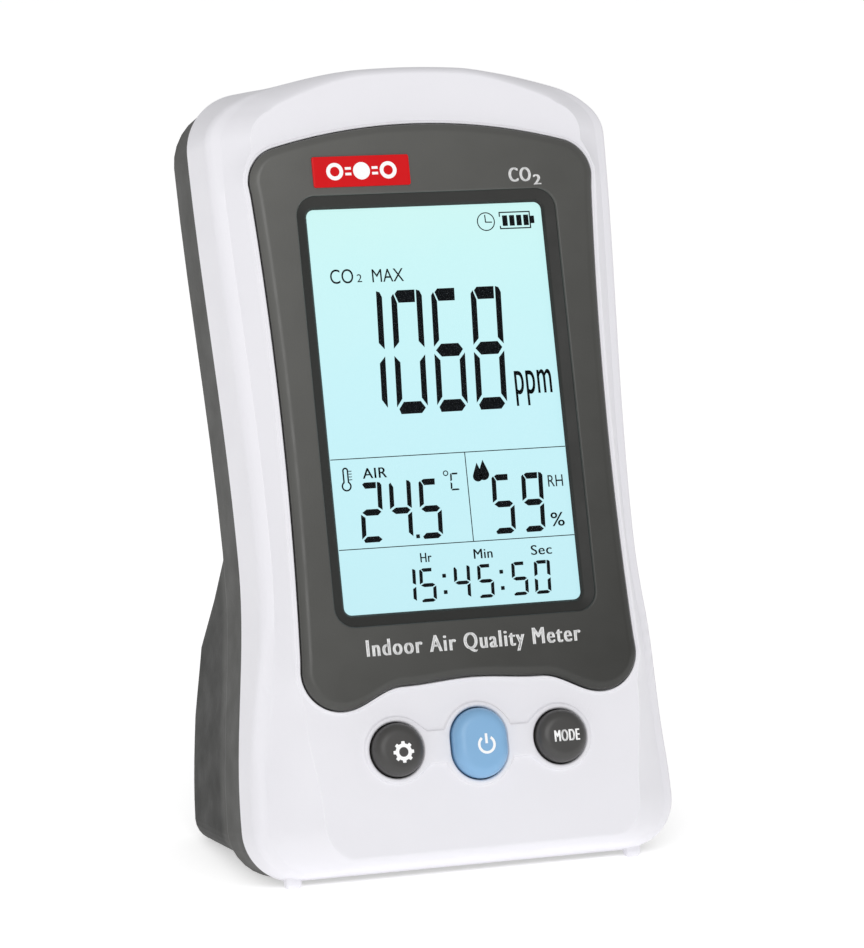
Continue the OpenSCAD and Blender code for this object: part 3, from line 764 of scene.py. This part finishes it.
def build_front_shell():
    shape = Shape()
    seam, rim = add_shell_outside(shape)
    lip = [(0.95, 0), (0.85, -0.03), (0.76, -0.12), (0.66, -0.24), (0.55, -0.3), (0.4, -0.3),
           (0.31, -0.27), (PANEL_GAP, -0.18), (PANEL_GAP, PANEL_BACK)]
    lip_ring, pocket = shape.bands([(panel_outline(-out), y) for out, y in lip])

    island_foot, bores = add_island(shape)
    shape.fill(rim, lip_ring, island_foot)

    window = round_rect(0, 0, 56.2, 86.2, 0.6)
    skin, ledge_y, ledge_half = 2, 2.8, 31
    window_front, window_back = shape.bands([(window, PANEL_BACK), (window, ledge_y)])
    shape.fill(pocket, window_front)
    ledge = [(max(-ledge_half, min(ledge_half, x)), z) for x, z in panel_outline(-2)]
    ledge_back, ledge_foot = shape.bands([(ledge, ledge_y), (ledge, skin)])
    shape.fill(ledge_back, window_back)
    inside = [(shell_outline(y, WALL), y + skin) for y in (0, FACET_D, 7, 10, SHELL_DEPTH - skin)]
    inner_foot, inner_top = shape.bands(inside)
    shape.fill(inner_foot, ledge_foot, *bores)
    shape.band(inner_top, seam)

    for x, z in CASE_SCREWS:
        shape.tube(x, z, 6.4, 2.5, 4, SHELL_DEPTH + 0.4, 5)
    for x, z in BOARD_POSTS:
        shape.tube(x, z, 5, 1.7, 1.9, BOARD_Y, 4)
    for side in (-1, 1):
        add_fin(shape, side)
    shape.build("front_shell_moulding", "housing", [WHITE], ["front_shell"])


# ---------------------------------------------------------------- dark panel

def build_bezel():
    shape = Shape()
    edge = [(0, PANEL_BACK), (0, -0.5), (0.05, -0.72), (0.17, -0.9), (0.4, -1.06),
            (1.0, -1.38), (1.2, -1.48), (1.4, -1.55), (1.65, -1.59), (1.9, -1.6)]
    back, front = shape.bands([(panel_outline(inset), y) for inset, y in edge])

    def window(out, corner):
        return round_rect(0, 0, LCD_W + 2 * out, LCD_H + 2 * out, corner, 12)

    lip = [(2.75, 4.2, -1.6), (2.6, 4.1, -1.57), (2.48, 4, -1.47), (2.42, 3.95, -1.3)]
    lip_front, lip_back = shape.bands([(window(out, r), y) for out, r, y in lip])
    shape.fill(front, lip_front)
    shape.slot = 1
    recess = [(2.34, 3.9, -1.12), (0.62, 1.9, -0.34), (0.4, 1.75, -0.2), (0.22, 1.65, 0.05),
              (0.08, 1.56, 0.3), (0, 1.5, 0.4)]
    last = shape.bands([lip_back] + [(window(out, r), y) for out, r, y in recess])[1]
    pocket = round_rect(0, 0, 51.2, 81.4, 0.3, 12)
    pocket_back = shape.bands([last, (pocket, 0.4), (pocket, PANEL_BACK)])[1]
    shape.slot = 0
    shape.fill(back, pocket_back)
    shape.build("panel_moulding", "housing", [PANEL, RECESS], ["display_bezel"])


# ---------------------------------------------------------------- keys

KEY_EDGE = 2.2
KEY_BACK = 2.4
STEM_END = BOARD_Y - 4.5


def key_top(rho):
    """Depth of a key's skin at a distance rho inside its side wall."""
    if rho >= KEY_EDGE:
        return -KEY_PROUD - 0.02 * min(1.5, rho - KEY_EDGE)
    return -KEY_PROUD + KEY_EDGE - math.sqrt(KEY_EDGE ** 2 - (KEY_EDGE - rho) ** 2)


def build_key(name, node, body, material, outline, centre):
    """outline(out) gives the key's outline, this much larger."""
    shape = Shape()
    steps = 14
    flange, flange_y = outline(1.4), KEY_BACK + 1.2
    rings = [(flange, flange_y), (flange, KEY_BACK), (outline(0), KEY_BACK),
             (outline(0), KEY_EDGE - KEY_PROUD)]
    for i in range(1, steps + 1):
        a = math.radians(90 * i / steps)
        inset = KEY_EDGE * (1 - math.cos(a))
        rings.append((outline(-inset), KEY_EDGE * (1 - math.sin(a)) - KEY_PROUD))
    rings.append((outline(-KEY_EDGE - 1.5), -KEY_PROUD - LAYER))
    back, top = shape.bands(rings)
    shape.fill(top)
    stem = circle(centre, KEY_Z, 2, 40)
    foot, end = shape.bands([(stem, flange_y), (stem, STEM_END)])
    shape.fill(back, foot)
    shape.fill(end)
    shape.build(name, body, [material], [node])


def round_key(centre):
    return lambda out: circle(centre, KEY_Z, KEY_D / 2 + out, 72)


def power_key(out):
    return oval(POWER_W + 2 * out, POWER_STRAIGHT, 30)


ICON_Y = -KEY_PROUD - LAYER - 0.04
ICON_DEPTH = 0.12


def build_gear_icon():
    teeth, outer, root, hole = 8, 2.05, 1.62, 0.92
    centre_x, centre_z = 0.45 - KEY_PITCH, KEY_Z - 0.55
    rim = []
    for tooth in range(teeth):
        turn = 360 * tooth / teeth
        for offset, r in ((-13, root), (-8.5, outer), (8.5, outer), (13, root), (22.5, root)):
            a = math.radians(-(turn + offset))
            rim.append((centre_x + r * math.cos(a), centre_z + r * math.sin(a)))
    angles = [math.atan2(z - centre_z, x - centre_x) for x, z in rim]
    inner = [(hole * math.cos(a) + centre_x, hole * math.sin(a) + centre_z) for a in angles]
    shape = Shape()
    shape.washer(rim, inner, ICON_Y, ICON_Y + ICON_DEPTH)
    shape.build("gear_icon", "settings_key", [INK_WHITE])


def build_power_icon():
    shape = Shape()
    x, z = 0.6, KEY_Z - 0.45
    shape.stroke(arc(x, z, 1.53, 125, 415, 40), 0.5, ICON_Y, ICON_Y + ICON_DEPTH)
    shape.stroke([(x, z + 0.2), (x, z + 2.1)], 0.5, ICON_Y, ICON_Y + ICON_DEPTH)
    shape.build("power_icon", "power_key", [INK_WHITE])


def build_mode_icon():
    def skin(x, z):
        rho = KEY_D / 2 - math.hypot(x - KEY_PITCH, z - KEY_Z)
        return key_top(rho) - 0.06
    shape = Shape()
    box = (KEY_PITCH - 2.1, KEY_PITCH + 3.05, KEY_Z - 1.1, KEY_Z + 1.1)
    add_text(shape, "MODE", box, skin, ICON_DEPTH, 0.17)
    shape.build("mode_icon", "mode_key", [INK_WHITE])


# ---------------------------------------------------------------- display

GLASS_Y = 1.3
INK_Y = GLASS_Y - 2 * LAYER


def lcd_material():
    finish = Finish("lcd_glow", srgb(10, 12, 12), 0.5)
    split = finish.add("ShaderNodeSeparateXYZ")
    finish.link(finish.add("ShaderNodeTexCoord").outputs["Generated"], split.inputs["Vector"])
    # The glow lightens towards the display's top edge: a painted highlight.
    ramp = finish.add("ShaderNodeValToRGB")
    stops = [(0, srgb(198, 243, 251)), (0.5, srgb(201, 247, 254)), (0.86, srgb(206, 251, 252)),
             (1, srgb(209, 252, 249))]
    for position, colour in stops[1:-1]:
        ramp.color_ramp.elements.new(position)
    for element, (position, colour) in zip(ramp.color_ramp.elements, stops):
        element.position = position
        element.color = colour
    finish.link(split.outputs["Z"], ramp.inputs["Fac"])
    cloud = finish.span(finish.noise(9, 2), 0.3, 0.7, 0, 0.02)
    glow = finish.mix(cloud, ramp.outputs["Color"], (1, 1, 1, 1))
    finish.link(glow, finish.shader.inputs["Emission Color"])
    finish.shader.inputs["Emission Strength"].default_value = 0.955
    finish.grain(0.3, 0.002)
    return finish.done()


def lens_material():
    finish = Finish("lens_acrylic", srgb(40, 44, 44), 0.12)
    finish.shader.inputs["Alpha"].default_value = 0.015
    finish.grain(6, 0.004, 0.5)
    return finish.done(0.02)


def ink_material():
    finish = Finish("lcd_ink", srgb(8, 12, 16), 0.7, specular=0.1)
    finish.drift(3, 0.2)
    finish.grain(0.2, 0.003)
    return finish.done()


SEGMENTS = {
    "0": "abcdef", "1": "bc", "2": "abged", "4": "fgbc", "5": "afgcd", "6": "acdefg",
    "8": "abcdefg", "9": "abcdfg", "C": "adef"}
SLANT = 0.045


def segment(name, w, h, t, v, gap):
    """Outline of one segment of a figure w wide and h high; t and v are the thicknesses
    of its level and upright segments."""
    m = h / 2
    return {
        "a": [(0.38 * v + gap, h - 0.28 * t), (v + gap / 2, h), (w - v - gap, h),
              (w - v - gap, h - t), (v + gap, h - t)],
        "b": [(w, m + 0.28 * t), (w - v, m + 0.8 * t), (w - v, h), (w - 0.4 * v, h - 0.1 * t),
              (w, h - 0.5 * t)],
        "c": [(w, m - 0.28 * t), (w, 0.56 * t), (w - v, 1.22 * t), (w - v, m - 0.82 * t)],
        "d": [(0.38 * v, 0.41 * t), (1.22 * v, 0.96 * t), (w - 1.22 * v, 0.96 * t),
              (w - 0.38 * v, 0.41 * t), (w - 1.1 * v, 0), (0.7 * v, 0)],
        "e": [(0, m - 0.28 * t), (v, m - 0.82 * t), (v, 1.22 * t), (0, 0.56 * t)],
        "f": [(0, m + 0.28 * t), (0, h - 0.53 * t), (0.38 * v, h - 0.26 * t),
              (v, h - 1.02 * t), (v, m + 0.8 * t)],
        "g": [(0.32 * v, m), (1.3 * v, m + 0.5 * t), (w - 1.1 * v, m + 0.5 * t),
              (w - 0.3 * v, m), (w - 1.1 * v, m - 0.53 * t), (1.3 * v, m - 0.53 * t)],
    }[name]


def add_figure(shape, figure, x, z, w, h, t, v, gap):
    for name in SEGMENTS[figure]:
        outline = [(x + px + SLANT * pz, z + pz) for px, pz in segment(name, w, h, t, v, gap)]
        shape.solid(outline, INK_Y, INK_Y + LAYER)


def add_square(shape, x, z, size):
    shape.solid(round_rect(x, z, size, size, size / 8, 2), INK_Y, INK_Y + LAYER)


def add_line(shape, points, width, closed=False):
    shape.stroke(points, width, INK_Y, INK_Y + LAYER, closed)


def drop_outline(x, low, high, r):
    """Water drop: round below, with a point above."""
    points = arc(x, low + r, r, 20, -200, 20)
    steps = 8
    left = []
    for i in range(1, steps):
        t = i / steps
        width = 0.94 * r * (1 - t) ** 1.15 + 0.25 * r * t * (1 - t)
        left.append((x - width, low + 1.34 * r + (high - low - 1.34 * r) * t))
    right = [(2 * x - px, pz) for px, pz in reversed(left)]
    return points + left + [(x, high)] + right


def thermometer_outline(x, low, high, bulb_r, stem_r):
    split = math.degrees(math.asin(stem_r / bulb_r))
    points = arc(x, low + bulb_r, bulb_r, 90 - split, -270 + split, 24)
    return points + arc(x, high - stem_r, stem_r, 180, 0, 10)


def build_lcd_field():
    field = Shape()
    field.solid(round_rect(0, 0, 51, 81, 0.6), GLASS_Y - LAYER, GLASS_Y)
    field.build("lcd_field", "housing", [lcd_material()])


def build_lcd_figures(ink):
    figures = Shape()
    big = dict(z=-1.1, w=6.25, h=24.1, t=2.45, v=1.15, gap=0.3)
    for figure, x in zip("1068", (-17.35, -9.25, -1.1, 7.0)):
        add_figure(figures, figure, x, **big)
    small = dict(z=-25.4, w=4.4, h=11.55, t=1.2, v=0.88, gap=0.22)
    for figure, x in zip("24559", (-18.8, -12.9, -6.9, 8.0, 14.1)):
        add_figure(figures, figure, x, **small)
    add_square(figures, -7.55, -24.8, 0.75)
    tiny = dict(z=-37.5, w=3.3, h=6.5, t=0.68, v=0.66, gap=0.16)
    for figure, x in zip("154550", (-12.35, -8.3, -1.35, 3.45, 10.45, 15.1)):
        add_figure(figures, figure, x, **tiny)
    for x in (-3.1, 8.55):
        for z in (-32.7, -35.85):
            add_square(figures, x, z, 0.75)
    add_figure(figures, "C", 0.0, -16.4, 1.95, 3.4, 0.34, 0.34, 0.12)
    figures.build("lcd_figures", "housing", [ink])


def build_lcd_marks(ink):
    """Clock, battery, dividing lines, thermometer, water drops and degree ring."""
    marks = Shape()
    add_line(marks, circle(12.7, 35.75, 1.75, 40), 0.2, True)
    add_line(marks, [(12.57, 37.1), (12.62, 35.65), (13.95, 35.6)], 0.22)
    add_line(marks, [(15.6, 36.6), (15.6, 37.45), (21.85, 37.45), (21.85, 34.25),
                     (15.6, 34.25), (15.6, 34.8)], 0.24)
    marks.solid(round_rect(22.35, 35.85, 0.8, 1.5, 0.1, 2), INK_Y, INK_Y + LAYER)
    for i in range(4):
        bar = round_rect(16.65 + 1.46 * i, 35.8, 1.05, 2.1, 0.06, 2)
        marks.solid(bar, INK_Y, INK_Y + LAYER)
    add_line(marks, [(-23.6, -9.15), (24.3, -9.15)], 0.17)
    add_line(marks, [(-23.6, -26.5), (24.3, -26.5)], 0.17)
    add_line(marks, [(3.55, -9.2), (3.55, -26.5)], 0.17)
    add_line(marks, thermometer_outline(-20.85, -15.2, -10.9, 0.85, 0.45), 0.3, True)
    for i in range(4):
        add_line(marks, [(-20.2, -11.5 - 0.55 * i), (-19.6, -11.5 - 0.55 * i)], 0.16)
    marks.solid(drop_outline(5.75, -15.0, -11.3, 1.0), INK_Y, INK_Y + LAYER)
    marks.solid(drop_outline(7.0, -14.8, -10.8, 1.1), INK_Y, INK_Y + LAYER)
    add_line(marks, circle(-0.74, -13.0, 0.45, 20), 0.2, True)
    marks.build("lcd_marks", "housing", [ink])


def build_lcd_words(ink):
    words = Shape()
    for text, box, bold in (
            ("CO", (-20.1, -15.45, 24.75, 27.55), 0.0),
            ("2", (-14.75, -13.75, 24.9, 26.45), 0.0),
            ("MAX", (-11.65, -5.25, 24.75, 27.3), 0.0),
            ("ppm", (15.25, 22.9, -0.75, 6.2), 0.08),
            ("AIR", (-17.45, -12.55, -13.1, -11.1), 0.08),
            ("RH", (20.0, 23.1, -16.85, -14.6), 0.0),
            ("%", (19.8, 22.6, -24.6, -21.9), 0.08),
            ("Hr", (-7.55, -5.25, -29.85, -28.05), 0.08),
            ("Min", (3.3, 7.15, -29.85, -28.0), 0.08),
            ("Sec", (15.05, 19.35, -29.9, -28.0), 0.08)):
        add_text(words, text, box, INK_Y, LAYER, bold)
    words.build("lcd_words", "housing", [ink])


# ---------------------------------------------------------------- badge and printing

def build_badge():
    shape = Shape()
    x, z, w, h = -12.75, 46, 19.6, 6
    front, back = shape.bands([
        (round_rect(x, z, w - 0.3, h - 0.3, 0.35), -PANEL_PROUD - 0.3),
        (round_rect(x, z, w - 0.1, h - 0.1, 0.4), -PANEL_PROUD - 0.26),
        (round_rect(x, z, w, h, 0.45), -PANEL_PROUD - 0.15),
        (round_rect(x, z, w, h, 0.45), -PANEL_PROUD)])
    shape.fill(front)
    shape.fill(back)
    shape.build("badge_plate", "housing", [BADGE_RED], ["badge"])

    mark = Shape()
    y0 = -PANEL_PROUD - 0.34
    y1 = -PANEL_PROUD - 0.28
    mark.solid(circle(x, z, 1.7, 48), y0, y1)
    for side in (-1, 1):
        atom_x = x + side * 5.4
        mark.washer(circle(atom_x, z, 1.7, 48), circle(atom_x, z, 0.95, 48), y0, y1)
        for lift in (-0.55, 0.55):
            mark.stroke([(x + side * 2.1, z + lift), (x + side * 3.3, z + lift)], 0.5, y0, y1)
    mark.build("badge_molecule", "housing", [INK_WHITE])


def build_printing():
    shape = Shape()
    y = -PANEL_PROUD - 0.04
    add_text(shape, "CO", (17.3, 21.9, 42.9, 45.7), y, 0.05, 0.22)
    add_text(shape, "2", (22.3, 23.9, 42.2, 44.2), y, 0.05, 0.2)
    add_text(shape, "Indoor Air Quality Meter", (-21.0, 22.4, -48.3, -44.1), y, 0.05, 0.24)
    shape.build("panel_printing", "housing", [INK_WHITE])


build_front_shell()
build_bezel()
build_key("settings_key_cap", "settings_button", "settings_key", DARK_KEY,
          round_key(-KEY_PITCH), -KEY_PITCH)
build_key("power_key_cap", "power_button", "power_key", BLUE_KEY, power_key, 0)
build_key("mode_key_cap", "mode_button", "mode_key", DARK_KEY,
          round_key(KEY_PITCH), KEY_PITCH)
build_gear_icon()
build_power_icon()
build_mode_icon()
build_lcd_field()
lcd_ink = ink_material()
build_lcd_figures(lcd_ink)
build_lcd_marks(lcd_ink)
build_lcd_words(lcd_ink)
build_badge()
build_printing()


# ---------------------------------------------------------------- carried-over parts

def plain(name, colour, rough, size=3.0, amount=0.06, grain_mm=0.3, depth_mm=0.006):
    finish = Finish(name, colour, rough)
    finish.drift(size, amount)
    finish.grain(grain_mm, depth_mm)
    return finish.done()


def board_material():
    finish = Finish("board_laminate", srgb(26, 92, 58), 0.35)
    finish.drift(8, 0.08)
    finish.speckle(0.7, srgb(40, 120, 80), 0.62, 0.66)
    finish.grain(0.4, 0.01, 1, (1, 0.1, 1))
    return finish.done()


STEEL = metal("zinc_steel", srgb(190, 190, 186), 0.3)
TIN = metal("tin_plate", srgb(205, 205, 200), 0.28)
NYLON = plain("nylon", srgb(28, 28, 28), 0.5)
CARRIED = {
    "display_lens": lens_material(),
    "lcd_glass": plain("lcd_sheet", srgb(150, 168, 160), 0.2),
    "lcd_connectors": plain("connector_rubber", srgb(60, 60, 60), 0.8, 0.6, 0.2),
    "lcd_backlight": plain("light_guide", srgb(235, 238, 236), 0.3),
    "lcd_tray": plain("tray_plastic", srgb(225, 225, 220), 0.5),
    "settings_plunger": NYLON,
    "power_plunger": NYLON,
    "mode_plunger": NYLON,
    "key_switches": TIN,
    "main_board": board_material(),
    "board_screws": STEEL,
    "controller_chip": plain("chip_epoxy", srgb(30, 30, 32), 0.55),
    "co2_sensor": metal("gold_plate", srgb(206, 170, 96), 0.3),
    "sensor_filter": plain("filter_cloth", srgb(238, 238, 236), 0.9, 0.5, 0.05, 0.15, 0.04),
    "humidity_sensor": plain("sensor_epoxy", srgb(24, 24, 26), 0.5),
    "sounder": plain("sounder_case", srgb(26, 26, 28), 0.45),
    "usb_port": TIN,
    "rear_case": REAR,
    "battery_door": DOOR,
    "battery_cell": plain("cell_sleeve", srgb(44, 84, 168), 0.3),
    "contact_plate": metal("contact_nickel", srgb(200, 198, 190), 0.25),
    "contact_spring": metal("spring_nickel", srgb(200, 198, 190), 0.25),
    "case_screws": STEEL,
    "rating_label": metal("label_foil", srgb(196, 198, 200), 0.4, (1, 1, 12), 1.2, 0.03),
}
for node, material in CARRIED.items():
    slots = frame["nodes"][node].data.materials
    slots.clear()
    slots.append(material)
